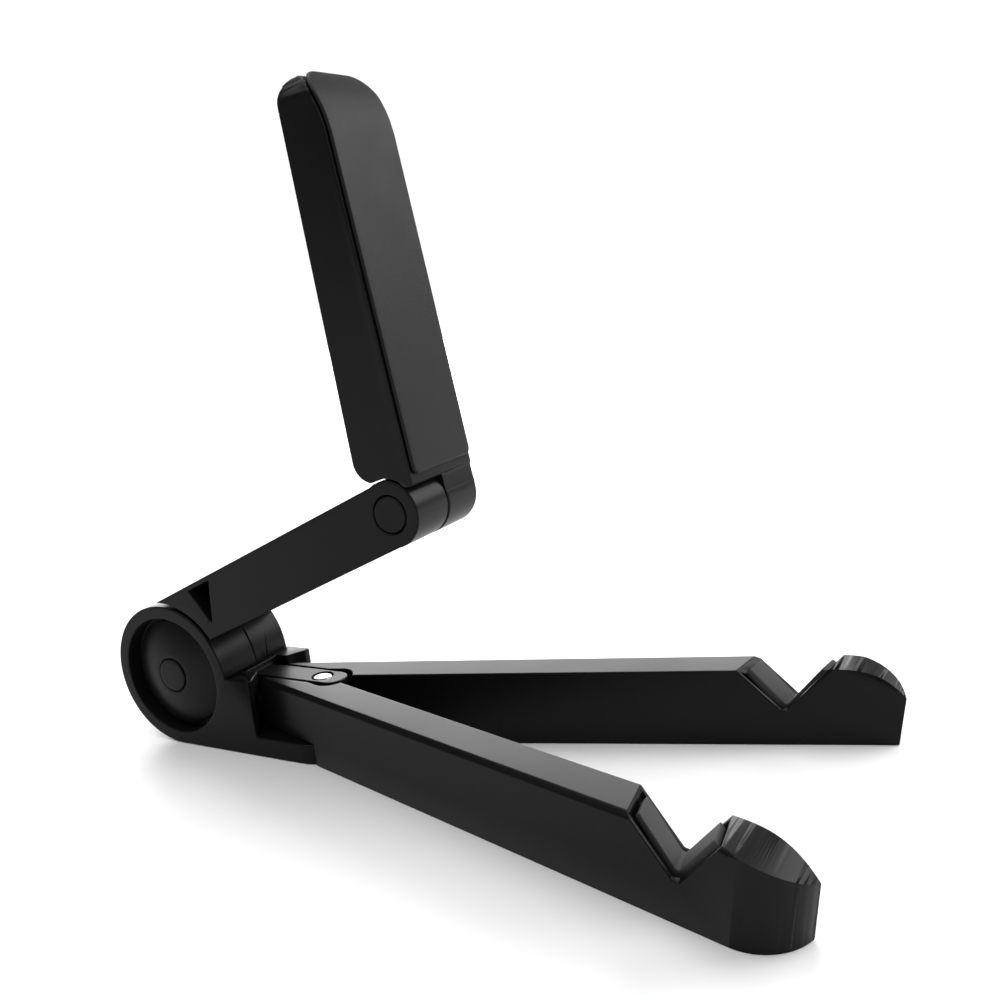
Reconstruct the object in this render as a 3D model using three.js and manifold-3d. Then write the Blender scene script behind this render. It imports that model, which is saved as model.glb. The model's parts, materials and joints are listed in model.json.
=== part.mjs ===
// Folding stand for a phone or a tablet: a hub on two hinged legs, and an arm in two links.
// Millimetres, +Z up, legs towards -Y. The origin is on the leg pivot's axis, at the table.
import * as THREE from "three";
import Module from "manifold-3d";
import { mergeVertices } from "three/addons/utils/BufferGeometryUtils.js";

const wasm = await Module();
wasm.setup();

// ---------------------------------------------------------------- driving dimensions
const WIDTH = 24.4;               // hub and arm, across
const HALF = WIDTH / 2;
const SEAM = 0.15;                // each half of a lap joint stops this far from the middle

const SHOULDER = { y: 40.7, z: 19.0, r: 19.0, armR: 18.8, boreR: 2.2 };
const HUB = { frontY: 14.0, top: 19.9, plate: 5.1, scoopR: 17.4, slotY: 20.0, slotHalf: 5.6 };
const TONGUE = { half: 3.75, tip: 7.0, under: 14.3, top: 18.3 };
const RECESS = { r: 15.7, depth: 4.4, headR: 5.0, headFloor: 4.6 };
const DOME = { r: 14.5, rise: 3.0, thick: 1.7, face: 12.0, buttonR: 4.3 };

const LEG = { open: 15.87, width: 10.2, height: 18.3, rear: 13.4, tip: 138.9, tipTop: 11.1, draft: 0.17, bevel: 1.0 };
const EYE = { r: 7.0, low: [5.4, 9.1], high: [10.3, 14.0], clear: 7.35, pinR: 1.9, holeR: 2.0 };
const NOTCH = { lipA: 102.4, foot: 112.0, lipB: 122.3, floor: 8.6, skew: 0.45, wall: 1.2, flat: 0.7 };

const LOWER = { length: 89.2, lift: 11.5, angle: 22.89, bottom: 4.1, top: 18.8, scoopR: 20.0 };
const ELBOW = { r: 7.55, armR: 7.65, clear: 7.95, boreR: 1.65, pocketR: 4.4, floor: 7.0 };
const UPPER = {
  angle: 97.87, start: 5.4, length: 93.05, front: 7.9, rollAt: 79.4, rollR: 23.7,
  backLow: 6.7, backHigh: 2.6, backR: 5.0, corner: 6.5,
};
const PAD = {
  side: 11.4, low: 7.7, top: 93.7, corner: 6.1, gap: 0.4, step: 0.7, proud: 1.0,
  plug: 9.9, plugLow: 9.5, plugTop: 85.5, floor: 5.6,
};

// ---------------------------------------------------------------- solids
const degrees = (value) => (value * Math.PI) / 180;

/** A manifold solid from a closed geometry, with its faces turned outwards. */
function solid(geometry) {
  const bare = geometry.clone();
  bare.deleteAttribute("normal");
  bare.deleteAttribute("uv");
  const welded = mergeVertices(bare, 1e-4);
  const at = welded.getAttribute("position");
  const index = welded.index.array;
  const faces = [];
  const [a, b, c] = [new THREE.Vector3(), new THREE.Vector3(), new THREE.Vector3()];
  let volume = 0;
  for (let i = 0; i < index.length; i += 3) {
    const [p, q, r] = [index[i], index[i + 1], index[i + 2]];
    if (p === q || q === r || r === p) continue;
    faces.push([p, q, r]);
    a.fromBufferAttribute(at, p);
    b.fromBufferAttribute(at, q);
    c.fromBufferAttribute(at, r);
    volume += a.dot(b.cross(c));
  }
  const ordered = faces.flatMap(([p, q, r]) => (volume < 0 ? [p, r, q] : [p, q, r]));
  return new wasm.Manifold(new wasm.Mesh({
    numProp: 3,
    vertProperties: Float32Array.from(at.array),
    triVerts: Uint32Array.from(ordered),
  }));
}

/** Points of an arc, angles in degrees. */
function arc(cx, cy, r, from, to, steps) {
  return Array.from({ length: steps + 1 }, (_, i) => {
    const angle = degrees(from + ((to - from) * i) / steps);
    return [cx + r * Math.cos(angle), cy + r * Math.sin(angle)];
  });
}

/** A prism over a closed outline [[a, b], ...], from c0 to c1, placed by a frame matrix. */
function prism(points, c0, c1, frame) {
  const shape = new THREE.Shape(points.map(([x, y]) => new THREE.Vector2(x, y)));
  const geometry = new THREE.ExtrudeGeometry(shape, { depth: c1 - c0, bevelEnabled: false, steps: 1 });
  geometry.translate(0, 0, c0);
  return solid(geometry.applyMatrix4(frame));
}

/** A ruled solid between two closed outlines with as many points, at c0 and at c1. */
function ruled(low, high, c0, c1, frame) {
  const n = low.length;
  const at = [...low.map(([x, y]) => [x, y, c0]), ...high.map(([x, y]) => [x, y, c1])].flat();
  const cap = (points) => THREE.ShapeUtils.triangulateShape(
    points.map(([x, y]) => new THREE.Vector2(x, y)), []);
  const index = low.flatMap((_, i) => {
    const j = (i + 1) % n;
    return [i, j, n + j, i, n + j, n + i];
  });
  cap(low).forEach(([a, b, c]) => index.push(c, b, a));
  cap(high).forEach(([a, b, c]) => index.push(n + a, n + b, n + c));
  const geometry = new THREE.BufferGeometry();
  geometry.setAttribute("position", new THREE.Float32BufferAttribute(at, 3));
  geometry.setIndex(index);
  return solid(geometry.applyMatrix4(frame));
}

const ring = (cx, cy, r, steps) => arc(cx, cy, r, 0, 360, steps).slice(0, -1);
const rect = (a0, b0, a1, b1) => [[a0, b0], [a1, b0], [a1, b1], [a0, b1]];

/** A turned solid about the frame's c axis: profile [[c, r], ...] from one end to the other. */
function turned(profile, ca, cb, frame, steps = 48) {
  const outline = profile.map(([along, r]) => new THREE.Vector2(r, along));
  const geometry = new THREE.LatheGeometry(outline, steps);
  geometry.rotateX(Math.PI / 2);          // the turning axis is now +c
  geometry.translate(ca, cb, 0);
  return solid(geometry.applyMatrix4(frame));
}

const rod = (c0, c1, r, ca, cb, frame, steps = 48) =>
  turned([[c0, 0], [c0, r], [c1, r], [c1, 0]], ca, cb, frame, steps);
const washer = (c0, c1, r, bore, ca, cb, frame, steps = 40) =>
  rod(c0, c1, r, ca, cb, frame, steps).subtract(rod(c0 - 1, c1 + 1, bore, ca, cb, frame, steps));
const hexagon = (c0, c1, r, bore, frame) =>
  prism(ring(0, 0, r, 6), c0, c1, frame).subtract(rod(c0 - 1, c1 + 1, bore, 0, 0, frame, 40));

// ---------------------------------------------------------------- frames
const FLOOR = new THREE.Matrix4();        // (x, y) outlines raised along z

/** Side view: outlines in (forward, up) about a point in Y and Z, run across X, tilted by an angle. */
function sideFrame(y, z, angle = 0) {
  const across = new THREE.Matrix4().set(0, 0, 1, 0, -1, 0, 0, 0, 0, 1, 0, 0, 0, 0, 0, 1);
  return new THREE.Matrix4()
    .makeTranslation(0, y, z)
    .multiply(new THREE.Matrix4().makeRotationX(-degrees(angle)))
    .multiply(across);
}

/** Front view of a tilted link: outlines in (x, along the link), run along its upward normal. */
function faceFrame(y, z, angle) {
  const upright = new THREE.Matrix4().set(1, 0, 0, 0, 0, -1, 0, 0, 0, 0, 1, 0, 0, 0, 0, 1);
  return new THREE.Matrix4()
    .makeTranslation(0, y, z)
    .multiply(new THREE.Matrix4().makeRotationX(-degrees(angle)))
    .multiply(upright);
}

/** A leg's side view: outlines in (along the leg, up), run outwards, leaning by a skew. */
function legFrame(side, skew = 0) {
  const lay = new THREE.Matrix4().set(0, 0, side, 0, -1, 0, -skew, 0, 0, 1, 0, 0, 0, 0, 0, 1);
  return new THREE.Matrix4().makeRotationZ(degrees(side * LEG.open)).multiply(lay);
}

/** A leg's plan view: outlines in (along the leg, outwards), raised along z. */
function planFrame(side) {
  const lay = new THREE.Matrix4().set(0, side, 0, 0, -1, 0, 0, 0, 0, 0, 1, 0, 0, 0, 0, 1);
  return new THREE.Matrix4().makeRotationZ(degrees(side * LEG.open)).multiply(lay);
}

const HUB_SIDE = sideFrame(SHOULDER.y, SHOULDER.z);
const ARM_SIDE = sideFrame(SHOULDER.y, SHOULDER.z, LOWER.angle);
const tilt = degrees(LOWER.angle);
const ELBOW_Y = SHOULDER.y - (LOWER.length * Math.cos(tilt) - LOWER.lift * Math.sin(tilt));
const ELBOW_Z = SHOULDER.z + LOWER.length * Math.sin(tilt) + LOWER.lift * Math.cos(tilt);
const UPPER_SIDE = sideFrame(ELBOW_Y, ELBOW_Z, UPPER.angle);
const UPPER_FACE = faceFrame(ELBOW_Y, ELBOW_Z, UPPER.angle);

// ---------------------------------------------------------------- hub
function hubBody() {
  const front = SHOULDER.y - HUB.frontY;
  const low = -SHOULDER.z;
  const knuckle = rod(-HALF, -SEAM, SHOULDER.r, 0, 0, HUB_SIDE, 96);
  let block = prism(rect(0, low, front, HUB.top - SHOULDER.z), -HALF, HALF, HUB_SIDE)
    .subtract(rod(-SEAM, HALF + 1, SHOULDER.armR + 0.5, 0, 0, HUB_SIDE, 96));
  const clearance = prism(ring(0, 0, HUB.scoopR, 96), HUB.plate, 30, FLOOR)
    .add(prism(rect(-HUB.slotHalf, 0, HUB.slotHalf, HUB.slotY), HUB.plate, 30, FLOOR));
  block = block.subtract(clearance);
  const plate = prism(
    [[HALF, HUB.frontY + 1], ...arc(0, 0, HALF, 0, -180, 36), [-HALF, HUB.frontY + 1]], 0, HUB.plate, FLOOR);
  const tip = TONGUE.half - TONGUE.tip;
  const tongue = prism(
    [[TONGUE.half, HUB.slotY + 1.5], ...arc(0, tip, TONGUE.half, 0, -180, 24), [-TONGUE.half, HUB.slotY + 1.5]],
    TONGUE.under, TONGUE.top, FLOOR);
  return knuckle.add(block).add(plate).add(tongue)
    .subtract(rod(-HALF - 1, RECESS.depth - HALF, RECESS.r, 0, 0, HUB_SIDE, 72))
    .subtract(rod(-HALF, -RECESS.headFloor, RECESS.headR, 0, 0, HUB_SIDE, 48))
    .subtract(rod(-HALF, 1, SHOULDER.boreR, 0, 0, HUB_SIDE, 40))
    .subtract(rod(-1.25, 1, 8.3, 0, 0, HUB_SIDE, 48))
    .subtract(rod(2.4, 30, EYE.holeR, 0, 0, FLOOR, 32))
    .subtract(rod(TONGUE.top - 0.9, 30, 2.7, 0, 0, FLOOR, 32))
    .subtract(prism(footOutline(8.6, -8.6, 8.0, 2.5), -1, 1.2, FLOOR));
}

/** A rounded rectangle in plan, as used for the rubber foot under the base plate. */
function footOutline(half, y0, y1, r) {
  return [
    ...arc(half - r, y1 - r, r, 0, 90, 6), ...arc(-half + r, y1 - r, r, 90, 180, 6),
    ...arc(-half + r, y0 + r, r, 180, 270, 6), ...arc(half - r, y0 + r, r, 270, 360, 6),
  ];
}

/** A domed cover for a shoulder recess; side is -1 for the hub and +1 for the arm. */
function dome(side) {
  const frame = HUB_SIDE;
  const at = (r, depth) => [side * (DOME.face - DOME.rise * (r / DOME.r) ** 2 - depth), r];
  const radii = [4.6, 6.5, 8.5, 10.5, 12.5, 13.8, DOME.r];
  const outer = radii.map((r) => at(r, 0));
  const inner = [...radii].reverse().map((r) => at(r, r > 13 ? 1.2 : DOME.thick));
  return turned([...outer, ...inner, outer[0]], 0, 0, frame, 72)
    .add(rod(side * (DOME.face - 2.1), side * (DOME.face - 0.75), 4.9, 0, 0, frame, 48));
}

const button = (side) => turned(
  [[side * (DOME.face - 0.5), 0], [side * (DOME.face - 0.5), DOME.buttonR],
    [side * (DOME.face - 0.05), DOME.buttonR - 0.1], [side * DOME.face, 0]], 0, 0, HUB_SIDE, 48);

function shoulderHardware() {
  const frame = HUB_SIDE;
  const head = turned([[-5.5, 0], [-5.5, 3.5], [-7.6, 3.5], [-8.0, 3.1], [-8.0, 0]], 0, 0, frame, 40)
    .subtract(prism(ring(0, 0, 1.7, 6), -9, -6.6, frame));
  const cone = turned([[4.85, 2.3], [5.25, 2.3], [5.75, 4.4], [5.35, 4.4], [4.85, 2.3]], 0, 0, frame, 40);
  return {
    shoulder_bolt: head.add(rod(-6, 8.2, 2.0, 0, 0, frame, 40)),
    shoulder_washer: washer(-5.3, -4.8, 4.3, 2.2, 0, 0, frame),
    shoulder_friction_disc: washer(-0.95, -0.05, 8.0, 2.3, 0, 0, frame, 48),
    shoulder_spring_washer: cone,
    shoulder_nut: hexagon(6.0, 8.4, 4.0, 2.1, frame),
  };
}

// ---------------------------------------------------------------- legs
function legBody(side) {
  const plan = planFrame(side);
  const view = legFrame(side);
  const lean = legFrame(side, NOTCH.skew);
  const slope = Math.tan(degrees(LEG.open));
  const inner = 0.15;
  const w = LEG.width;

  // the tip leans outwards a little as it rises
  const outline = (tip) => [
    [LEG.rear * -1, w], [-LEG.rear, LEG.rear * slope + 0.45], [0, inner + 0.3], [EYE.r, inner],
    [tip, inner], ...arc(tip - w, inner, w - inner, 0, 90, 54).slice(1),
  ];
  const lean0 = -LEG.draft * LEG.tipTop;
  let body = ruled(
    outline(LEG.tip + lean0), outline(LEG.tip + lean0 + LEG.draft * LEG.height), 0, LEG.height, plan);

  // the tip's top falls away in a curve that is fuller on the inner side
  const run = LEG.tip - NOTCH.lipB;
  const drop = LEG.height - LEG.tipTop;
  const fall = (power) => [
    ...Array.from({ length: 43 }, (_, i) => {
      const u = Math.sin((i / 42) * Math.PI * 0.5);
      return [NOTCH.lipB + run * u, LEG.height - drop * u ** power];
    }),
    [LEG.tip + 8, LEG.tipTop - 6], [LEG.tip + 8, LEG.height + 5], [NOTCH.lipB, LEG.height + 5],
  ];
  body = body.subtract(ruled(fall(3.3), fall(2), -1, w + 1, legFrame(side, NOTCH.skew * 0.5)));

  // outer top edge
  const b = LEG.bevel;
  const edge = new THREE.Matrix4().makeRotationZ(degrees(side * LEG.open))
    .multiply(new THREE.Matrix4().set(side, 0, 0, 0, 0, 0, -1, 0, 0, 1, 0, 0, 0, 0, 0, 1));
  body = body.subtract(prism(
    [[w - b, LEG.height + 0.01], [w + 1, LEG.height + 0.01], [w + 1, LEG.height - b - 1], [w + 0.01, LEG.height - b]],
    -LEG.rear - 1, NOTCH.lipB + 12, edge));

  // the V, a shallower V wall each side of the insert's channel
  const vee = (grow) => [
    [NOTCH.lipA - grow - 2, LEG.height + 2 + 0.02], [NOTCH.foot - NOTCH.flat - grow * 0.41, NOTCH.floor - grow],
    [NOTCH.foot + NOTCH.flat + grow * 0.41, NOTCH.floor - grow], [NOTCH.lipB + grow + 2, LEG.height + 2 + 0.02],
  ];
  body = body.subtract(prism(vee(0), -1, w + 1, lean));
  const channel = [
    [NOTCH.lipA + 0.3, LEG.height - 1.9], ...vee(1.7).slice(1, 3), [NOTCH.lipB - 0.3, LEG.height - 1.9],
    [NOTCH.lipB - 0.3, LEG.height + 3], [NOTCH.lipA + 0.3, LEG.height + 3],
  ];
  body = body.subtract(prism(channel, NOTCH.wall, w - NOTCH.wall, lean));

  // hinge end: base plate below, tongue above, and the two eyes between them
  const below = prism(ring(0, 0, HALF + 0.4, 72), -1, EYE.low[0], plan)
    .add(prism(rect(-LEG.rear - 2, -8, 0, w + 8), -1, EYE.low[0], plan));
  const reach = Math.cos(degrees(LEG.open));
  const span = TONGUE.half + 0.75;
  const nose = TONGUE.tip + 0.9 - span;
  const above = prism([
    ...arc(nose, 0, span, 90, -90, 16), [-24, -span],
    [-24 * reach, 24 * slope * reach + span], [0, span],
  ], EYE.high[1], 40, plan).add(prism(ring(0, 0, EYE.clear, 48), EYE.high[1], TONGUE.under, plan));
  const band = side < 0 ? EYE.low : EYE.high;
  body = body.subtract(below).subtract(above)
    .subtract(prism(ring(0, 0, EYE.clear, 48), EYE.low[0] - 1, EYE.high[1] + 0.01, plan))
    .add(rod(band[0], band[1], EYE.r, 0, 0, plan, 48))
    .add(prism([[0, 0.6], [EYE.clear + 1, 0.6], [EYE.clear + 1, w - 1], [-EYE.clear - 1, w - 1],
      [-EYE.clear - 1, 5.0], [-3, 3.5]], band[0], band[1], plan))
    .subtract(rod(0, 30, 2.05, 0, 0, plan, 32));
  return body.subtract(prism(toeOutline(0.25), -1, 1.2, plan));
}

/** Outline of the rubber foot under a leg's tip, grown all round by a margin. */
function toeOutline(grow) {
  const [a0, a1, b0, b1, r] = [96 - grow, 130.5 + grow, 2.2 - grow, 8.0 + grow, 2.6 + grow];
  return [
    ...arc(a1 - r, b1 - r, r, 90, 0, 6), ...arc(a1 - r, b0 + r, r, 0, -90, 6),
    ...arc(a0 + r, b0 + r, r, -90, -180, 6), ...arc(a0 + r, b1 - r, r, 180, 90, 6),
  ];
}

function notchPad(side) {
  const under = 1.4;
  const over = 0.7;
  const outline = [
    [NOTCH.lipA + 0.9, LEG.height - 1.6], [NOTCH.foot - NOTCH.flat - under * 0.41, NOTCH.floor - under],
    [NOTCH.foot + NOTCH.flat + under * 0.41, NOTCH.floor - under], [NOTCH.lipB - 0.9, LEG.height - 1.6],
    [NOTCH.lipB - 2.0, LEG.height - 0.5], [NOTCH.foot + NOTCH.flat - over * 0.41, NOTCH.floor + over],
    [NOTCH.foot - NOTCH.flat + over * 0.41, NOTCH.floor + over], [NOTCH.lipA + 2.0, LEG.height - 0.5],
  ];
  return prism(outline, NOTCH.wall + 1.0, LEG.width - NOTCH.wall - 1.0, legFrame(side, NOTCH.skew));
}

// ---------------------------------------------------------------- lower link
function lowerArm() {
  const f = ARM_SIDE;
  const knuckle = rod(SEAM, HALF, SHOULDER.armR, 0, 0, f, 96);
  const farBar = prism(rect(0, LOWER.bottom, LOWER.length, LOWER.top), -SEAM, HALF, f)
    .subtract(rod(-HALF, HALF + 1, ELBOW.clear, LOWER.length, LOWER.lift, f, 64));
  const nearBar = prism(rect(2, LOWER.bottom, LOWER.length, LOWER.top), -HALF, SEAM, f)
    .subtract(rod(-HALF - 1, 0, LOWER.scoopR, 0, 0, f, 96));
  const hubClear = rod(-HALF - 1, SEAM, LOWER.scoopR, 0, 0, f, 96);
  const elbow = rod(-HALF, -SEAM, ELBOW.r, LOWER.length, LOWER.lift, f, 64);
  const wedge = [[20.2, 17.5], [28.4, 17.5], [23.2, 7.9], [22.6, 8.2], [21.9, 11.5]];
  return farBar.subtract(hubClear).add(nearBar).add(knuckle).add(elbow)
    .subtract(rod(-SEAM, HALF + 1, ELBOW.clear, LOWER.length, LOWER.lift, f, 64))
    .subtract(prism(wedge, -HALF - 1, -HALF + 7.5, f))
    .subtract(rod(HALF - RECESS.depth, HALF + 1, RECESS.r, 0, 0, f, 72))
    .subtract(rod(RECESS.headFloor, HALF, RECESS.headR, 0, 0, f, 48))
    .subtract(rod(-1, HALF, SHOULDER.boreR, 0, 0, f, 40))
    .subtract(rod(-HALF - 1, -ELBOW.floor, ELBOW.pocketR, LOWER.length, LOWER.lift, f, 48))
    .subtract(rod(-HALF, 1, ELBOW.boreR, LOWER.length, LOWER.lift, f, 32));
}

function elbowHardware() {
  const frame = sideFrame(ELBOW_Y, ELBOW_Z);
  const head = turned([[-8.0, 0], [-8.0, 2.8], [-9.7, 2.8], [-10.1, 2.4], [-10.1, 0]], 0, 0, frame, 32)
    .subtract(prism(ring(0, 0, 1.3, 6), -11, -8.9, frame));
  const cap = (side) => turned([
    [side * 10.6, 0], [side * 10.6, 4.1], [side * (HALF - 0.25), 4.1], [side * HALF, 3.85], [side * HALF, 0],
  ], 0, 0, frame, 48);
  return {
    elbow_bolt: head.add(rod(-8.5, 10.0, 1.5, 0, 0, frame, 32)),
    elbow_washer: washer(-7.8, -7.25, 3.5, 1.7, 0, 0, frame, 32),
    elbow_spring_washer: washer(7.25, 7.9, 3.4, 1.7, 0, 0, frame, 32),
    elbow_nut: hexagon(8.15, 10.1, 3.1, 1.6, frame),
    elbow_cap_left: cap(-1),
    elbow_cap_right: cap(1),
  };
}

// ---------------------------------------------------------------- upper link
/** The face view of the upper link or of its pad: square at the foot, rounded at the top. */
function linkFace(half, low, high, corner, foot) {
  return [
    ...arc(half - corner, high - corner, corner, 0, 90, 12),
    ...arc(-half + corner, high - corner, corner, 90, 180, 12),
    ...(foot > 0 ? arc(-half + foot, low + foot, foot, 180, 270, 5) : [[-half, low]]),
    ...(foot > 0 ? arc(half - foot, low + foot, foot, 270, 360, 5) : [[half, low]]),
  ];
}

/** The front of the upper link in side view, grown outwards, from one height to another. */
function frontProfile(grow, low, high) {
  const r = UPPER.rollR + grow;
  const reach = Math.asin((high - UPPER.rollAt) / r);
  const roll = Array.from({ length: 13 }, (_, i) => (reach * i) / 12);
  return [
    [low, -UPPER.front - grow],
    ...roll.map((t) => [UPPER.rollAt + r * Math.sin(t), UPPER.rollR - UPPER.front - r * Math.cos(t)]),
  ];
}

function upperArm() {
  const f = UPPER_SIDE;
  const side = [
    ...frontProfile(0, UPPER.start, UPPER.length - 0.6),
    ...arc(UPPER.length - UPPER.backR, UPPER.backHigh - UPPER.backR, UPPER.backR, 0, 86, 9),
    ...arc(12.2, UPPER.backLow - 5, 5, 93, 180, 8), [UPPER.start, UPPER.backLow - 5],
  ];
  const face = linkFace(HALF, 0, UPPER.length + 1, UPPER.corner, 0);
  let shell = prism(side, -HALF, HALF, f).intersect(prism(face, -20, 20, UPPER_FACE));
  shell = shell.subtract(rod(-HALF - 1, SEAM, ELBOW.clear, 0, 0, f, 64));
  const neck = prism([[0, -ELBOW.armR + 0.2], [9, -UPPER.front + 0.6], [12, 1.5], [8.0, 2.0],
    [3.5, 5.5], [0, 2]], SEAM, HALF, f);
  const knuckle = rod(SEAM, HALF, ELBOW.armR, 0, 0, f, 64).add(neck);
  const well = linkFace(PAD.plug + 0.3, PAD.plugLow - 0.3, PAD.plugTop + 0.3, 6.3, 1.9);
  const seat = linkFace(PAD.plug - 0.2, PAD.plugLow + 0.2, PAD.plugTop - 0.2, 5.8, 1.6);
  return shell.add(knuckle)
    .subtract(prism(well, -20, -PAD.floor, UPPER_FACE))
    .subtract(prism(seat, -20, 2.0 - PAD.floor, UPPER_FACE))
    .subtract(rod(ELBOW.floor, HALF + 1, ELBOW.pocketR, 0, 0, f, 48))
    .subtract(rod(-HALF - 1, HALF, ELBOW.boreR, 0, 0, f, 32));
}

const padCarrier = () => prism(
  linkFace(PAD.plug - 0.5, PAD.plugLow + 0.5, PAD.plugTop - 0.5, 5.5, 1.4),
  0.4 - PAD.floor, 1.7 - PAD.floor, UPPER_FACE);

/** One layer of the pad, between two distances off the shell's front, drawn in by an inset. */
function padLayer(from, to, inset) {
  const high = PAD.top + 1;
  const side = [...frontProfile(to, 0, high), ...frontProfile(from, 0, high - 0.5).reverse()];
  const face = linkFace(
    PAD.side - inset, PAD.low + inset, PAD.top - inset, PAD.corner - inset, 1.6 - inset);
  return prism(side, -HALF, HALF, UPPER_SIDE).intersect(prism(face, -20, 20, UPPER_FACE));
}

function restPad() {
  const plug = prism(linkFace(PAD.plug, PAD.plugLow, PAD.plugTop, 6.0, 1.6),
    -PAD.floor - 3.5, -PAD.floor - 0.3, UPPER_FACE)
    .intersect(prism([...frontProfile(PAD.gap + 0.1, 0, PAD.top), [PAD.top, 0], [0, 0]], -HALF, HALF, UPPER_SIDE));
  return plug.add(padLayer(PAD.gap, PAD.step, 0)).add(padLayer(PAD.gap + 0.1, PAD.proud, 0.35));
}

// ---------------------------------------------------------------- assembly
const MATERIALS = {
  shell: new THREE.MeshStandardMaterial({ color: 0x1c1c1e, roughness: 0.45 }),
  cover: new THREE.MeshStandardMaterial({ color: 0x222224, roughness: 0.5 }),
  rubber: new THREE.MeshStandardMaterial({ color: 0x2b2b2e, roughness: 0.85 }),
  steel: new THREE.MeshStandardMaterial({ color: 0xb4b6b8, roughness: 0.3, metalness: 1.0 }),
};

const group = new THREE.Group();
group.name = "phone_stand";

/** Turns a finished solid into a named mesh of the group. */
function put(name, body, material) {
  const { vertProperties, triVerts } = body.getMesh();
  const geometry = new THREE.BufferGeometry();
  geometry.setAttribute("position", new THREE.BufferAttribute(Float32Array.from(vertProperties), 3));
  geometry.setIndex(new THREE.BufferAttribute(Uint32Array.from(triVerts), 1));
  geometry.computeVertexNormals();
  const mesh = new THREE.Mesh(geometry, MATERIALS[material]);
  mesh.name = name;
  group.add(mesh);
}

put("hub_body", hubBody(), "shell");
put("shoulder_cover_left", dome(-1), "cover");
put("shoulder_button_left", button(-1), "cover");
put("leg_pin", turned([[2.9, 0], [2.9, EYE.pinR], [17.7, EYE.pinR], [17.7, 2.4], [18.0, 2.4], [18.25, 1.9], [18.25, 0]],
  0, 0, FLOOR, 32), "steel");
put("leg_pin_washer", washer(9.4, 10.0, 5.4, 2.1, 0, 0, FLOOR, 36), "steel");
put("hub_foot", prism(footOutline(8.3, -8.3, 7.7, 2.2), 0, 0.9, FLOOR), "rubber");
for (const [name, body] of Object.entries(shoulderHardware())) put(name, body, "steel");

for (const [name, side] of [["left", -1], ["right", 1]]) {
  put(`leg_${name}`, legBody(side), "shell");
  put(`notch_pad_${name}`, notchPad(side), "rubber");
  put(`leg_foot_${name}`, prism(toeOutline(0), 0, 0.9, planFrame(side)), "rubber");
}

put("lower_arm", lowerArm(), "shell");
put("shoulder_cover_right", dome(1), "cover");
put("shoulder_button_right", button(1), "cover");
for (const [name, body] of Object.entries(elbowHardware())) {
  put(name, body, name.includes("cap") ? "cover" : "steel");
}

put("upper_arm", upperArm(), "shell");
put("pad_carrier", padCarrier(), "cover");
put("rest_pad", restPad(), "rubber");

export default group;
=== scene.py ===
"""Studio look of a folding phone and tablet stand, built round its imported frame."""

from __future__ import annotations

import json
import logging
import math
from dataclasses import dataclass, field
from enum import Enum

import bmesh
import bpy
from mathutils import Matrix, Vector

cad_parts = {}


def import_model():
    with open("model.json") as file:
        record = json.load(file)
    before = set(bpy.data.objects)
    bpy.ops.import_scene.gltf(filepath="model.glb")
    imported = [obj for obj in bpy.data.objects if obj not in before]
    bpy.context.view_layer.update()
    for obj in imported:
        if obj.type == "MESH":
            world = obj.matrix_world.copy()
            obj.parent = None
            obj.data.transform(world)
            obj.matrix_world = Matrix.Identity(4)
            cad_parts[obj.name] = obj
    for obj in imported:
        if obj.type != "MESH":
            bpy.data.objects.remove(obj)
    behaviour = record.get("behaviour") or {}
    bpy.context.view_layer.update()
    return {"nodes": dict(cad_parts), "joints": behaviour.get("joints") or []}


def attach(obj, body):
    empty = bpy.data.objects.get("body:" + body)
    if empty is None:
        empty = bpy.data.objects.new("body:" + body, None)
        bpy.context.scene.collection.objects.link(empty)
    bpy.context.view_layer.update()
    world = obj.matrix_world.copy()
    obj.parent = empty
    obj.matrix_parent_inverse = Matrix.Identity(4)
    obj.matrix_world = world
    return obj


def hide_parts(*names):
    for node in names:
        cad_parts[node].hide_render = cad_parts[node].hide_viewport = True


LOG = logging.getLogger("stand")
MM = 0.001
WELD = 0.003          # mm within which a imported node's loose corners are joined
FLAT = 0.8            # degrees below which neighbouring facets are joined
CROWDED = 1.1         # edges shorter than this many roundings keep their neighbours crisp
COLLAPSE = 0.4        # edges shorter than this many roundings are closed up
CRISP_ABOVE = 9.0     # mm above the table from which a leg's far edges stay crisp
SMOOTH = 34.0         # degrees up to which a moulding's neighbouring faces shade as one
SIDE_STEPS = (0.3, 0.6, 0.82, 0.86, 0.9, 0.94, 0.97)  # shares of the pad's straight side with a point


# ---------------------------------------------------------------------------
# Node helpers
# ---------------------------------------------------------------------------
class Socket(Enum):
    """The kinds of socket that a shader group can have."""

    VALUE = "NodeSocketFloat"
    COLOUR = "NodeSocketColor"
    VECTOR = "NodeSocketVector"


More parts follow.
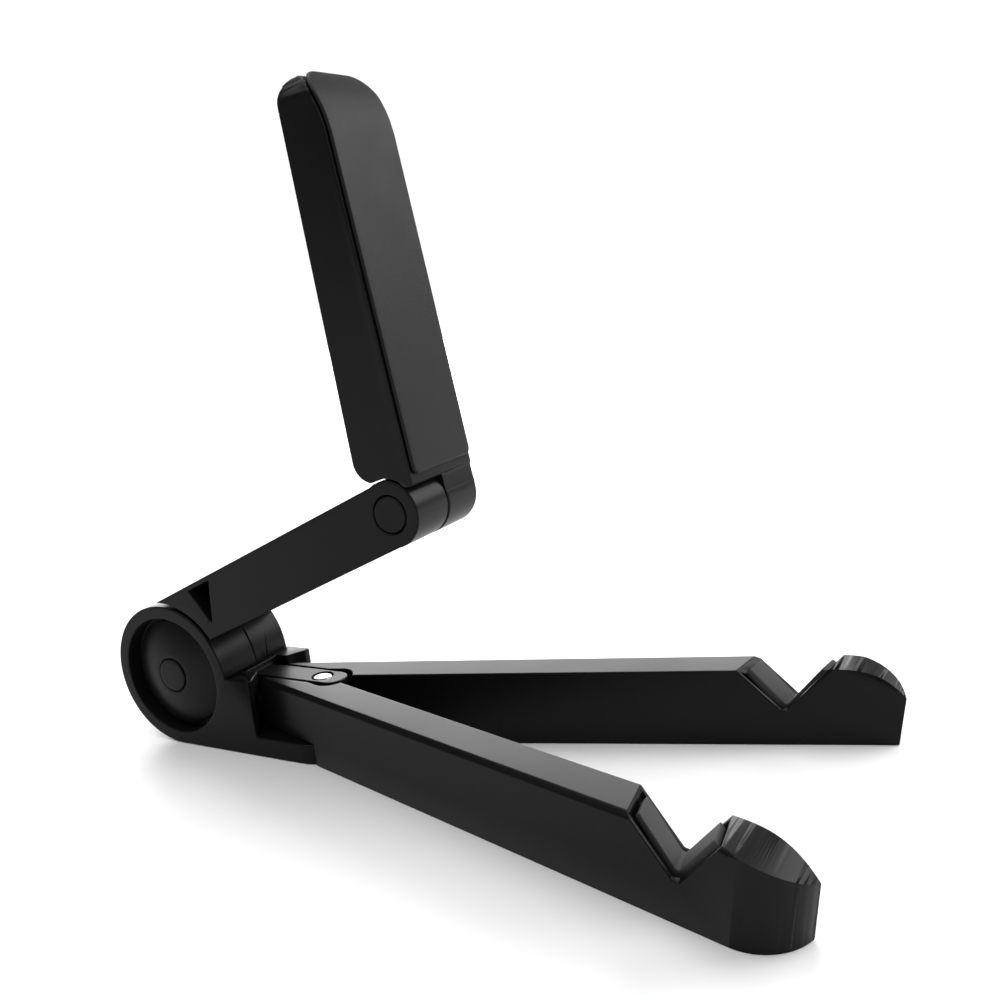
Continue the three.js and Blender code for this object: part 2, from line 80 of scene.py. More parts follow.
@dataclass
class GroupBuilder:
    """Builds one shared shader group.

    Args:
        name: The group's name.
        inputs: Socket names with their kinds and default values.
        outputs: Socket names with their kinds.
    """

    name: str
    inputs: dict[str, tuple[Socket, object]]
    outputs: dict[str, Socket]
    tree: bpy.types.NodeTree = field(init=False)
    source: bpy.types.Node = field(init=False)
    sink: bpy.types.Node = field(init=False)

    def __post_init__(self) -> None:
        """Makes the empty group and its sockets."""
        self.tree = bpy.data.node_groups.new(self.name, "ShaderNodeTree")
        for title, (kind, value) in self.inputs.items():
            item = self.tree.interface.new_socket(title, in_out="INPUT", socket_type=kind.value)
            item.default_value = value
        for title, kind in self.outputs.items():
            self.tree.interface.new_socket(title, in_out="OUTPUT", socket_type=kind.value)
        self.source = self.tree.nodes.new("NodeGroupInput")
        self.sink = self.tree.nodes.new("NodeGroupOutput")

    def node(self, kind: str, **settings: object) -> bpy.types.Node:
        """Adds a node and sets its plain properties.

        Args:
            kind: The node's type name.
            settings: Properties to set on it.

        Returns:
            The new node.
        """
        made = self.tree.nodes.new(kind)
        for title, value in settings.items():
            setattr(made, title, value)
        return made

    def link(self, start: bpy.types.NodeSocket, end: bpy.types.NodeSocket) -> None:
        """Joins two sockets."""
        self.tree.links.new(start, end)

    def noise(self, point: bpy.types.NodeSocket, scale: float, detail: float,
              rough: float) -> bpy.types.NodeSocket:
        """Adds a noise texture and returns its value socket."""
        texture = self.node("ShaderNodeTexNoise")
        self.link(point, texture.inputs["Vector"])
        texture.inputs["Scale"].default_value = scale
        texture.inputs["Detail"].default_value = detail
        texture.inputs["Roughness"].default_value = rough
        return texture.outputs["Fac"]

    def band(self, value: bpy.types.NodeSocket, low: float, high: float, to_low: float = 0.0,
             to_high: float = 1.0) -> bpy.types.NodeSocket:
        """Maps a value's band to another range, held at both ends.

        Args:
            value: The value to map.
            low: Where the band starts.
            high: Where the band ends.
            to_low: The result at the start.
            to_high: The result at the end.

        Returns:
            The mapped value's socket.
        """
        ramp = self.node("ShaderNodeMapRange")
        self.link(value, ramp.inputs["Value"])
        for title, number in (("From Min", low), ("From Max", high),
                              ("To Min", to_low), ("To Max", to_high)):
            ramp.inputs[title].default_value = number
        return ramp.outputs["Result"]

    def maths(self, operation: str, first: bpy.types.NodeSocket,
              second: object) -> bpy.types.NodeSocket:
        """Adds a math node over a socket and a socket or number, and returns its result."""
        made = self.node("ShaderNodeMath", operation=operation)
        self.link(first, made.inputs[0])
        if isinstance(second, (int, float)):
            made.inputs[1].default_value = second
        else:
            self.link(second, made.inputs[1])
        return made.outputs[0]


def moulded_skin_group() -> bpy.types.NodeTree:
    """Builds the surface of satin moulded plastic: spark texture, flow clouds, scuffs and dust.

    Returns:
        The group, with a colour, a roughness and a height.
    """
    g = GroupBuilder(
        "MouldedSkin",
        {
            "Point": (Socket.VECTOR, (0.0, 0.0, 0.0)),
            "Colour": (Socket.COLOUR, (0.02, 0.02, 0.022, 1.0)),
            "Worn": (Socket.COLOUR, (0.09, 0.09, 0.095, 1.0)),
            "Gloss": (Socket.VALUE, 0.4),
            "Scuffs": (Socket.VALUE, 0.4),
            "Dust": (Socket.VALUE, 0.3),
        },
        {"Colour": Socket.COLOUR, "Roughness": Socket.VALUE, "Height": Socket.VALUE},
    )
    point = g.source.outputs["Point"]
    spark = g.noise(point, 5200.0, 2.0, 0.6)
    pebble = g.node("ShaderNodeTexVoronoi")
    g.link(point, pebble.inputs["Vector"])
    pebble.inputs["Scale"].default_value = 2600.0
    flow = g.noise(point, 34.0, 3.0, 0.5)
    smear = g.node("ShaderNodeMapping")
    smear.inputs["Scale"].default_value = (420.0, 60.0, 420.0)
    smear.inputs["Rotation"].default_value = (0.35, 0.2, 0.9)
    g.link(point, smear.inputs["Vector"])
    streak = g.noise(smear.outputs["Vector"], 1.0, 4.0, 0.7)
    scuff = g.band(streak, 0.63, 0.74)
    patch = g.band(g.noise(point, 90.0, 2.0, 0.5), 0.45, 0.7)
    scuff = g.maths("MULTIPLY", g.maths("MULTIPLY", scuff, patch), g.source.outputs["Scuffs"])
    specks = g.band(g.noise(point, 1500.0, 1.0, 0.4), 0.73, 0.79)
    specks = g.maths("MULTIPLY", specks, g.source.outputs["Dust"])
    marks = g.maths("MAXIMUM", scuff, specks)

    tone = g.node("ShaderNodeMix", data_type="RGBA")
    g.link(g.band(flow, 0.3, 0.7, 0.0, 0.09), tone.inputs["Factor"])
    g.link(g.source.outputs["Colour"], tone.inputs["A"])
    g.link(g.source.outputs["Worn"], tone.inputs["B"])
    worn = g.node("ShaderNodeMix", data_type="RGBA")
    g.link(g.maths("MULTIPLY", marks, 0.55), worn.inputs["Factor"])
    g.link(tone.outputs["Result"], worn.inputs["A"])
    g.link(g.source.outputs["Worn"], worn.inputs["B"])
    g.link(worn.outputs["Result"], g.sink.inputs["Colour"])

    rough = g.maths("ADD", g.source.outputs["Gloss"], g.band(flow, 0.3, 0.7, -0.035, 0.035))
    rough = g.maths("ADD", rough, g.maths("MULTIPLY", marks, 0.16))
    g.link(rough, g.sink.inputs["Roughness"])
    grain = g.maths("ADD", g.maths("MULTIPLY", spark, 0.6),
                    g.maths("MULTIPLY", pebble.outputs["Distance"], 0.4))
    grain = g.maths("SUBTRACT", grain, g.maths("MULTIPLY", scuff, 0.35))
    g.link(grain, g.sink.inputs["Height"])
    return g.tree


def rubber_skin_group() -> bpy.types.NodeTree:
    """Builds the surface of soft rubber: a fine pore pattern, cloudy bloom and lint.

    Returns:
        The group, with a colour, a roughness and a height.
    """
    g = GroupBuilder(
        "RubberSkin",
        {
            "Point": (Socket.VECTOR, (0.0, 0.0, 0.0)),
            "Colour": (Socket.COLOUR, (0.045, 0.045, 0.05, 1.0)),
            "Bloom": (Socket.COLOUR, (0.11, 0.11, 0.12, 1.0)),
            "Gloss": (Socket.VALUE, 0.6),
            "Lint": (Socket.VALUE, 0.3),
        },
        {"Colour": Socket.COLOUR, "Roughness": Socket.VALUE, "Height": Socket.VALUE},
    )
    point = g.source.outputs["Point"]
    pores = g.node("ShaderNodeTexVoronoi", feature="SMOOTH_F1")
    g.link(point, pores.inputs["Vector"])
    pores.inputs["Scale"].default_value = 3400.0
    clouds = g.noise(point, 60.0, 4.0, 0.6)
    lint = g.band(g.noise(point, 1900.0, 1.0, 0.4), 0.74, 0.8)
    lint = g.maths("MULTIPLY", lint, g.source.outputs["Lint"])
    mask = g.maths("MAXIMUM", g.band(clouds, 0.35, 0.75, 0.0, 0.22), g.maths("MULTIPLY", lint, 0.6))
    mix = g.node("ShaderNodeMix", data_type="RGBA")
    g.link(mask, mix.inputs["Factor"])
    g.link(g.source.outputs["Colour"], mix.inputs["A"])
    g.link(g.source.outputs["Bloom"], mix.inputs["B"])
    g.link(mix.outputs["Result"], g.sink.inputs["Colour"])
    g.link(g.maths("ADD", g.source.outputs["Gloss"], g.band(clouds, 0.3, 0.8, -0.05, 0.06)),
           g.sink.inputs["Roughness"])
    g.link(pores.outputs["Distance"], g.sink.inputs["Height"])
    return g.tree


def plated_metal_group() -> bpy.types.NodeTree:
    """Builds the surface of plated steel: turning marks and dull spots.

    Returns:
        The group, with a colour, a roughness and a height.
    """
    g = GroupBuilder(
        "PlatedMetal",
        {
            "Point": (Socket.VECTOR, (0.0, 0.0, 0.0)),
            "Colour": (Socket.COLOUR, (0.62, 0.62, 0.63, 1.0)),
            "Dull": (Socket.COLOUR, (0.36, 0.35, 0.34, 1.0)),
            "Gloss": (Socket.VALUE, 0.24),
        },
        {"Colour": Socket.COLOUR, "Roughness": Socket.VALUE, "Height": Socket.VALUE},
    )
    point = g.source.outputs["Point"]
    spots = g.band(g.noise(point, 900.0, 3.0, 0.6), 0.5, 0.72)
    mix = g.node("ShaderNodeMix", data_type="RGBA")
    g.link(g.maths("MULTIPLY", spots, 0.5), mix.inputs["Factor"])
    g.link(g.source.outputs["Colour"], mix.inputs["A"])
    g.link(g.source.outputs["Dull"], mix.inputs["B"])
    g.link(mix.outputs["Result"], g.sink.inputs["Colour"])
    g.link(g.maths("ADD", g.source.outputs["Gloss"], g.maths("MULTIPLY", spots, 0.14)),
           g.sink.inputs["Roughness"])
    rings = g.node("ShaderNodeTexWave", wave_type="RINGS", rings_direction="Z")
    g.link(point, rings.inputs["Vector"])
    rings.inputs["Scale"].default_value = 2400.0
    rings.inputs["Distortion"].default_value = 0.6
    g.link(rings.outputs["Fac"], g.sink.inputs["Height"])
    return g.tree


# ---------------------------------------------------------------------------
# Finishes
# ---------------------------------------------------------------------------
class Skin(Enum):
    """The shared surface effects that a finish can use."""

    MOULDED = "MouldedSkin"
    RUBBER = "RubberSkin"
    PLATED = "PlatedMetal"


@dataclass(frozen=True)
class Finish:
    """One finish of the stand.

    Args:
        name: The material's name.
        slot: The record's material slot. Not used.
        skin: The shared surface effect.
        amounts: Values for the effect's inputs.
        bump: Height of the effect's relief, in metres.
        metallic: How metallic the surface is.
        specular: Strength of the plain reflection.
        sheen: Weight of the soft sheen.
    """

    name: str
    slot: str
    skin: Skin
    amounts: tuple[tuple[str, object], ...]
    bump: float
    metallic: float = 0.0
    specular: float = 0.35
    sheen: float = 0.0

    def material(self) -> bpy.types.Material:
        """Builds the material, or returns the one already built.

        Returns:
            The material.
        """
        found = bpy.data.materials.get(self.name)
        if found is not None:
            return found
        made = bpy.data.materials.new(self.name)
        made.use_nodes = True
        nodes, links = made.node_tree.nodes, made.node_tree.links
        shader = nodes["Principled BSDF"]
        shader.inputs["Metallic"].default_value = self.metallic
        shader.inputs["Specular IOR Level"].default_value = self.specular
        shader.inputs["Sheen Weight"].default_value = self.sheen
        shader.inputs["Sheen Roughness"].default_value = 0.4
        place = nodes.new("ShaderNodeTexCoord")
        effect = nodes.new("ShaderNodeGroup")
        effect.node_tree = bpy.data.node_groups[self.skin.value]
        for title, value in self.amounts:
            effect.inputs[title].default_value = value
        relief = nodes.new("ShaderNodeBump")
        relief.inputs["Distance"].default_value = self.bump
        relief.inputs["Strength"].default_value = 1.0
        links.new(place.outputs["Object"], effect.inputs["Point"])
        links.new(effect.outputs["Colour"], shader.inputs["Base Color"])
        links.new(effect.outputs["Roughness"], shader.inputs["Roughness"])
        links.new(effect.outputs["Height"], relief.inputs["Height"])
        links.new(relief.outputs["Normal"], shader.inputs["Normal"])
        return made


def grey(value: float, blue: float = 1.0) -> tuple[float, float, float, float]:
    """A grey colour, with its blue part scaled."""
    return (value, value, value * blue, 1.0)


SHELL_PLASTIC = Finish(
    "satin_black_shell", "shell", Skin.MOULDED,
    (("Colour", grey(0.0042, 1.08)), ("Worn", grey(0.02)), ("Gloss", 0.33), ("Scuffs", 0.35), ("Dust", 0.25)),
    bump=0.000012, specular=0.12)
COVER_PLASTIC = Finish(
    "satin_black_cover", "cover", Skin.MOULDED,
    (("Colour", grey(0.0044, 1.05)), ("Worn", grey(0.02)), ("Gloss", 0.36), ("Scuffs", 0.3), ("Dust", 0.3)),
    bump=0.000012, specular=0.12)
PAD_RUBBER = Finish(
    "soft_pad_rubber", "pad_rubber", Skin.RUBBER,
    (("Colour", grey(0.0055, 1.25)), ("Bloom", grey(0.015, 1.2)), ("Gloss", 0.48), ("Lint", 0.25)),
    bump=0.00002, specular=0.17, sheen=0.02)
GRIP_RUBBER = Finish(
    "grip_rubber", "grip_rubber", Skin.RUBBER,
    (("Colour", grey(0.0055, 1.05)), ("Bloom", grey(0.014)), ("Gloss", 0.42), ("Lint", 0.35)),
    bump=0.00002, specular=0.13)
PLATED_STEEL = Finish(
    "plated_steel", "steel", Skin.PLATED,
    (("Colour", grey(0.7, 1.01)), ("Dull", grey(0.42, 0.97)), ("Gloss", 0.2)), bump=0.000004, metallic=1.0)


# ---------------------------------------------------------------------------
# Mesh helpers
# ---------------------------------------------------------------------------
def shade(piece: bpy.types.Object, angle: float = 32.0) -> None:
    """Smooths a piece's shading except at edges sharper than an angle.

    Args:
        piece: The piece to shade.
        angle: The limit in degrees.
    """
    mesh = piece.data
    mesh.shade_smooth()
    mesh.set_sharp_from_angle(angle=math.radians(angle))


def to_object(name: str, bm: bmesh.types.BMesh, place: Matrix | None = None) -> bpy.types.Object:
    """Turns a bmesh into a linked object that sits at the origin.

    Args:
        name: The piece's name.
        bm: The mesh, which is freed.
        place: Where the mesh goes, applied to its vertices.

    Returns:
        The new object.
    """
    if place is not None:
        bmesh.ops.transform(bm, matrix=place, verts=bm.verts)
    bmesh.ops.remove_doubles(bm, verts=bm.verts, dist=0.000002)
    bmesh.ops.recalc_face_normals(bm, faces=bm.faces)
    mesh = bpy.data.meshes.new(name)
    bm.to_mesh(mesh)
    bm.free()
    piece = bpy.data.objects.new(name, mesh)
    bpy.context.scene.collection.objects.link(piece)
    return piece


def round_edges(bm: bmesh.types.BMesh, edges: list[bmesh.types.BMEdge], width: float,
                steps: int = 3) -> None:
    """Rounds a list of edges.

    Args:
        bm: The mesh.
        edges: The edges to round.
        width: The rounding's width in metres.
        steps: Segments across it.
    """
    bmesh.ops.bevel(bm, geom=edges, offset=width, offset_type="OFFSET", affect="EDGES", segments=steps,
                    profile=0.5, material=-1, clamp_overlap=False, loop_slide=True)


def turned(profile: list[tuple[float, float]], steps: int = 72) -> bmesh.types.BMesh:
    """Spins a profile of (radius, height) points about Z into a closed body.

    Args:
        profile: The points, in millimetres, from the axis back to the axis or round a closed loop.
        steps: Segments of the full turn.

    Returns:
        The mesh, in metres.
    """
    bm = bmesh.new()
    ring = [bm.verts.new((r * MM, 0.0, z * MM)) for r, z in profile]
    edges = [bm.edges.new(pair) for pair in zip(ring, ring[1:])]
    if profile[0][0] > 1e-6:
        edges.append(bm.edges.new((ring[-1], ring[0])))
    bmesh.ops.spin(bm, geom=ring + edges, cent=(0, 0, 0), axis=(0, 0, 1), dvec=(0, 0, 0),
                   angle=math.tau, steps=steps, use_merge=True, use_duplicate=False)
    bmesh.ops.remove_doubles(bm, verts=bm.verts, dist=0.000002)
    bmesh.ops.dissolve_degenerate(bm, edges=bm.edges, dist=0.000001)
    return bm


def arc(cx: float, cy: float, r: float, start: float, end: float, steps: int) -> list[tuple[float, float]]:
    """Points of an arc, with angles in degrees."""
    turns = [math.radians(start + (end - start) * i / steps) for i in range(steps + 1)]
    return [(cx + r * math.cos(a), cy + r * math.sin(a)) for a in turns]


def plate(outline: list[tuple[float, float]], low: float, high: float) -> bmesh.types.BMesh:
    """Raises a closed outline into a flat plate.

    Args:
        outline: Points in millimetres.
        low: Height of the lower face in millimetres.
        high: Height of the upper face in millimetres.

    Returns:
        The mesh, in metres.
    """
    bm = bmesh.new()
    face = bm.faces.new([bm.verts.new((x * MM, y * MM, low * MM)) for x, y in outline])
    made = bmesh.ops.extrude_face_region(bm, geom=[face])
    lifted = [v for v in made["geom"] if isinstance(v, bmesh.types.BMVert)]
    bmesh.ops.translate(bm, verts=lifted, vec=(0, 0, (high - low) * MM))
    bmesh.ops.recalc_face_normals(bm, faces=bm.faces)
    return bm


def sharp_edges(bm: bmesh.types.BMesh, degrees: float) -> list[bmesh.types.BMEdge]:
    """The edges whose faces meet at more than an angle."""
    limit = math.radians(degrees)
    return [e for e in bm.edges if len(e.link_faces) == 2 and e.calc_face_angle(0.0) > limit]


# ---------------------------------------------------------------------------
# Pieces
# ---------------------------------------------------------------------------
@dataclass
class SubAssembly:
    """A set of pieces that ride on one body of the stand.

    Args:
        body: The body's name.
        nodes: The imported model's nodes, by name.
    """

    body: str
    nodes: dict[str, bpy.types.Object]

    def keep(self, piece: bpy.types.Object, finish: Finish,
             replaces: tuple[str, ...] = ()) -> bpy.types.Object:
        """Dresses a piece, seats it on the body and reports it.

        Args:
            piece: The piece.
            finish: Its finish.
            replaces: Nodes that it stands for.

        Returns:
            The piece.
        """
        piece.data.materials.clear()
        piece.data.materials.append(finish.material())
        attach(piece, self.body)
        if replaces:
            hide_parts(*replaces)
        LOG.info("%s: %s, %d faces, %s", self.body, piece.name, len(piece.data.polygons), finish.name)
        return piece

    def dress(self, finish: Finish, *names: str) -> None:
        """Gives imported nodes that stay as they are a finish.

        Args:
            finish: The finish.
            names: The nodes.
        """
        for name in names:
            node = self.nodes[name]
            node.data.materials.clear()
            node.data.materials.append(finish.material())
            LOG.info("%s: %s kept, %s", self.body, name, finish.name)

    def eased(self, node: str, name: str, finish: Finish, width: float, angle: float = 24.0,
              steps: int = 3, crisp_beyond: float | None = None) -> bpy.types.Object:
        """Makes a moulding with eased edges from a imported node, which it replaces.

        Args:
            node: The node to copy.
            name: The new piece's name.
            finish: Its finish.
            width: Width of the rounding in millimetres.
            angle: Edges sharper than this are rounded, in degrees.
            steps: Segments across the rounding.
            crisp_beyond: Raised edges further than this from the upright axis stay crisp, in millimetres.

        Returns:
            The new piece.
        """
        bm = bmesh.new()
        bm.from_mesh(self.nodes[node].data)
        bmesh.ops.remove_doubles(bm, verts=bm.verts, dist=WELD * MM)
        bmesh.ops.dissolve_limit(bm, angle_limit=math.radians(FLAT), use_dissolve_boundaries=False,
                                 verts=bm.verts, edges=bm.edges)
        bmesh.ops.dissolve_degenerate(bm, edges=bm.edges, dist=COLLAPSE * width * MM)
        room = CROWDED * width * MM
        crowded = {v for e in bm.edges if e.calc_length() < room for v in e.verts}
        free = [e for e in sharp_edges(bm, angle) if not crowded.intersection(e.verts)]
        if crisp_beyond is not None:
            free = [e for e in free if not any(
                v.co.xy.length > crisp_beyond * MM and v.co.z > CRISP_ABOVE * MM for v in e.verts)]
        corners = [Vector(c) for c in self.nodes[node].bound_box]
        round_edges(bm, free, width * MM, steps)
        for v in bm.verts:
            v.co = Vector(min(max(v.co[i], corners[0][i]), corners[6][i]) for i in range(3))
        bmesh.ops.triangulate(bm, faces=[f for f in bm.faces if len(f.verts) > 4], quad_method="BEAUTY",
                              ngon_method="EAR_CLIP")
        piece = to_object(name, bm)
        shade(piece, SMOOTH)
        level = piece.modifiers.new("level_faces", "WEIGHTED_NORMAL")
        level.keep_sharp = True
        level.weight = 100
        return self.keep(piece, finish, (node,))


def across(y: float, z: float, side: float) -> Matrix:
    """Places a turned body on an axis along X, its top facing out on one side.

    Args:
        y: The axis's Y in millimetres.
        z: The axis's Z in millimetres.
        side: -1 for the left, 1 for the right.

    Returns:
        The placing matrix.
    """
    return Matrix.Translation((0, y * MM, z * MM)) @ Matrix.Rotation(side * math.pi / 2, 4, "Y")


@dataclass
class ShoulderTrim(SubAssembly):
    """The domed cover and the button at one end of the shoulder.

    Args:
        side: -1 for the left, 1 for the right.
        y: The axis's Y in millimetres.
        z: The axis's Z in millimetres.
        radius: The dome's radius in millimetres.
        face: Distance of the dome's crown from the middle, in millimetres.
        rise: How far the dome's rim lies below its crown, in millimetres.
        hub_r: Radius of the button in millimetres.
    """

    side: float = -1.0
    y: float = 40.7
    z: float = 19.0
    radius: float = 14.5
    face: float = 12.0
    rise: float = 3.0
    hub_r: float = 4.3

    def build(self, where: str) -> None:
        """Builds the cover and the button.

        Args:
            where: left or right, as in the node names.
        """
        crown = [(r, self.face - self.rise * (r / self.radius) ** 2) for r in
                 (4.95, 6.2, 7.6, 9.0, 10.4, 11.6, 12.7, 13.5, 14.1)]
        rim = arc(self.radius - 0.4, self.face - self.rise - 0.25, 0.4, 60, 0, 4)
        under = [(self.radius, self.face - self.rise - 1.0), (12.6, self.face - self.rise - 1.0),
                 (9.0, self.face - 2.9), (5.4, self.face - 2.1), (0.0, self.face - 2.1)]
        well = [(0.0, self.face - 0.75), (4.45, self.face - 0.75), (4.6, self.face - 0.65),
                (4.66, self.face - 0.45), (4.78, self.face - 0.37)]
        cover = turned(well + crown + rim + under, 96)
        piece = to_object(f"domed_cover_{where}", cover, across(self.y, self.z, self.side))
        shade(piece, 40.0)
        self.keep(piece, COVER_PLASTIC, (f"shoulder_cover_{where}",))
        r = self.hub_r
        disc = [(0.0, self.face + 0.02), (r * 0.5, self.face), (r * 0.8, self.face - 0.05),
                *arc(r - 0.22, self.face - 0.29, 0.22, 80, 0, 4), (r, self.face - 0.5),
                (0.0, self.face - 0.5)]
        piece = to_object(f"cover_button_{where}", turned(disc, 64), across(self.y, self.z, self.side))
        shade(piece, 40.0)
        self.keep(piece, COVER_PLASTIC, (f"shoulder_button_{where}",))


@dataclass
class ElbowCap(SubAssembly):
    """The round cap in one end of the elbow.

    Args:
        side: -1 for the left, 1 for the right.
        y: The axis's Y in millimetres.
        z: The axis's Z in millimetres.
        radius: The cap's radius in millimetres.
        face: Distance of its face from the middle, in millimetres.
    """

    side: float = -1.0
    y: float = 0.0
    z: float = 0.0
    radius: float = 4.1
    face: float = 12.2

    def build(self, where: str) -> None:
        """Builds the cap.

        Args:
            where: left or right, as in the node names.
        """
        r = self.radius
        profile = [(0.0, self.face - 0.06), (r * 0.6, self.face - 0.03), (r - 0.5, self.face),
                   *arc(r - 0.3, self.face - 0.3, 0.3, 80, 0, 5), (r, 10.9), (r - 0.25, 10.6), (0.0, 10.6)]
        piece = to_object(f"elbow_end_cap_{where}", turned(profile, 72), across(self.y, self.z, self.side))
        shade(piece, 40.0)
        self.keep(piece, COVER_PLASTIC, (f"elbow_cap_{where}",))


@dataclass
class Hub(SubAssembly):
    """The hub with the leg pin, its washer, the foot and the shoulder's hardware."""

    def build(self) -> None:
        """Builds the hub's pieces."""
        self.eased("hub_body", "hub_shell", SHELL_PLASTIC, 0.35, 28.0)
        pin = turned([(0.0, 2.9), (1.6, 2.9), (1.9, 3.2), (1.9, 17.65), (2.35, 17.65), (2.4, 17.75),
                      (2.38, 17.95), (2.2, 18.12), (1.8, 18.22), (1.0, 18.25), (0.0, 18.25)], 56)
        piece = to_object("pivot_pin", pin)
        shade(piece, 35.0)
        self.keep(piece, PLATED_STEEL, ("leg_pin",))
        self.dress(PLATED_STEEL, "leg_pin_washer", "shoulder_bolt", "shoulder_washer",
                   "shoulder_friction_disc")
        self.dress(GRIP_RUBBER, "hub_foot")
        ShoulderTrim(self.body, self.nodes, side=-1.0).build("left")


@dataclass
class Leg(SubAssembly):
    """One notched leg with its insert and foot.

    Args:
        side: -1 for the left, 1 for the right.
        open_angle: Degrees that the leg stands out from the middle.
        width: The leg's width in millimetres.
        height: The leg's height in millimetres.
        lip_near: The notch's lip towards the pivot, along the leg, in millimetres.
        foot_at: The notch's lowest point along the leg, in millimetres.
        lip_far: The notch's other lip along the leg, in millimetres.
        floor: Height of the notch's lowest point in millimetres.
        skew: How far the notch leans along the leg per unit of width.
    """

    side: float = -1.0
    open_angle: float = 15.87
    width: float = 10.2
    height: float = 18.3
    lip_near: float = 102.4
    foot_at: float = 112.0
    lip_far: float = 122.3
    floor: float = 8.6
    skew: float = 0.45

    def frame(self) -> Matrix:
        """The matrix from (along, up, out) in the leg to the row frame, with the notch's lean."""
        lay = Matrix(((0, 0, self.side, 0), (-1, 0, -self.skew, 0), (0, 1, 0, 0), (0, 0, 0, 1)))
        return Matrix.Rotation(math.radians(self.side * self.open_angle), 4, "Z") @ lay

    def insert(self, where: str) -> None:
        """Builds the rubber insert that lines the notch.

        Args:
            where: left or right, as in the node names.
        """
        flat, under, over = 0.7, 1.4, 0.7
        outline = [
            (self.lip_near + 0.9, self.height - 1.6),
            (self.foot_at - flat - under * 0.41, self.floor - under),
            (self.foot_at + flat + under * 0.41, self.floor - under), (self.lip_far - 0.9, self.height - 1.6),
            (self.lip_far - 2.0, self.height - 0.5), (self.foot_at + flat - over * 0.41, self.floor + over),
            (self.foot_at - flat + over * 0.41, self.floor + over), (self.lip_near + 2.0, self.height - 0.5),
        ]
        bm = plate(outline, 2.2, self.width - 2.2)
        round_edges(bm, sharp_edges(bm, 30.0), 0.28 * MM, 3)
        piece = to_object(f"notch_grip_{where}", bm, self.frame())
        shade(piece, SMOOTH)
        self.keep(piece, GRIP_RUBBER, (f"notch_pad_{where}",))

    def build(self, where: str) -> None:
        """Builds the leg's pieces.

        Args:
            where: left or right, as in the node names.
        """
        self.eased(f"leg_{where}", f"leg_shell_{where}", SHELL_PLASTIC, 0.3, 22.0,
                   crisp_beyond=self.lip_far - 1.5)
        self.insert(where)
        self.dress(GRIP_RUBBER, f"leg_foot_{where}")


@dataclass
class LowerLink(SubAssembly):
    """The lower link with its shoulder trim and elbow hardware.

    Args:
        elbow: The elbow axis's Y and Z in millimetres.
    """

    elbow: tuple[float, float] = (0.0, 0.0)

    def build(self) -> None:
        """Builds the lower link's pieces."""
        self.eased("lower_arm", "lower_link_shell", SHELL_PLASTIC, 0.35, 28.0)
        ShoulderTrim(self.body, self.nodes, side=1.0).build("right")
        ElbowCap(self.body, self.nodes, side=-1.0, y=self.elbow[0], z=self.elbow[1]).build("left")
        self.dress(PLATED_STEEL, "shoulder_spring_washer", "shoulder_nut", "elbow_bolt", "elbow_washer")


